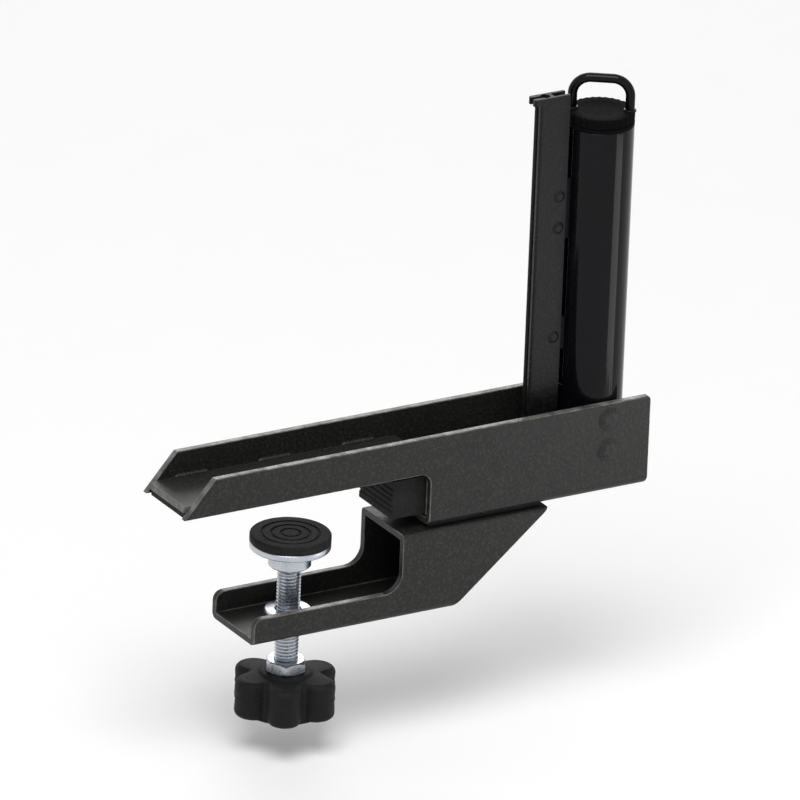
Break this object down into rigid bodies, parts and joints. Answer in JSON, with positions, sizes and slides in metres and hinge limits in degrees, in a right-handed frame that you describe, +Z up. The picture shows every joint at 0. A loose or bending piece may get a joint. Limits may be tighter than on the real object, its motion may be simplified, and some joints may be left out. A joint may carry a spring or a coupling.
{
  "type": "table tennis net clamp",
  "caption": "Folded steel clamp with a screw foot, a round post, a height-adjustable net rail and a turning loop key, for holding one end of a table tennis net.",
  "frame": {"origin": "the point on the upper jaw's rubber face, which rests on the table top, where the clamp screw's axis meets it", "axes": "+X points outwards from the table along the net line, +Z is up, and the net hangs in the plane y = 0"},
  "size_m": [0.222, 0.0418, 0.2595],
  "materials": {
    "charcoal_paint": "charcoal powder coat on folded steel, fine grain, satin",
    "rail_paint": "black powder coat on a rolled steel profile, satin",
    "gloss_post": "glossy black enamel on steel tube",
    "gloss_rod": "glossy black enamel on round steel rod",
    "gloss_cap": "glossy black moulded plastic",
    "black_plastic": "black moulded nylon, fine spark texture",
    "rubber": "black moulded rubber, matt",
    "zinc_plate": "bright zinc plate on turned steel",
    "spring_steel": "oiled spring steel",
    "brass": "turned brass"
  },
  "bodies": {
    "frame": {"arm_channel": "charcoal_paint", "jaw_plate": "charcoal_paint", "jaw_pad": "rubber", "edge_bumper": "rubber", "cord_hook": "charcoal_paint", "lower_bracket": "charcoal_paint", "spacer_plate": "rubber", "bracket_bolts": "zinc_plate", "bracket_washers": "zinc_plate", "bracket_nuts": "zinc_plate", "threaded_bush": "zinc_plate", "post_tube": "gloss_post", "post_foot": "black_plastic", "post_rivets": "charcoal_paint", "post_screw": "zinc_plate", "post_washer": "zinc_plate", "top_bush": "black_plastic"},
    "pressure_foot": {"pressure_disc": "zinc_plate", "pressure_pad": "rubber", "retaining_bush": "brass"},
    "screw": {"clamp_screw": "zinc_plate", "jam_nut": "zinc_plate", "knob": "black_plastic", "knob_cap": "gloss_cap"},
    "rail": {"height_nut": "black_plastic", "guide_shoe": "black_plastic", "net_rail": "rail_paint", "rail_rivets": "rail_paint", "rail_stop": "black_plastic"},
    "key": {"adjusting_screw": "zinc_plate", "screw_clip": "spring_steel", "key_cap": "black_plastic", "key_loop": "gloss_rod", "key_pin": "spring_steel"}
  },
  "joints": [
    {"name": "foot_lift", "type": "slide", "parent": "frame", "child": "pressure_foot", "axis": [0, 0, 1], "range_m": [-0.014, 0.012]},
    {"name": "screw_turn", "type": "hinge", "parent": "pressure_foot", "child": "screw", "pos_m": [0, 0, -0.0785], "axis": [0, 0, 1], "range_deg": [-3360, 2880]},
    {"name": "rail_lift", "type": "slide", "parent": "frame", "child": "rail", "axis": [0, 0, 1], "range_m": [-0.01, 0.008]},
    {"name": "key_turn", "type": "hinge", "parent": "frame", "child": "key", "pos_m": [0.141, 0, 0.1383], "axis": [0, 0, 1], "range_deg": [-2880, 3600]}
  ],
  "couplings": [
    {"joint": "screw_turn", "follows": "foot_lift", "rad_per_m": 4188.8},
    {"joint": "key_turn", "follows": "rail_lift", "rad_per_m": -6283.2}
  ]
}
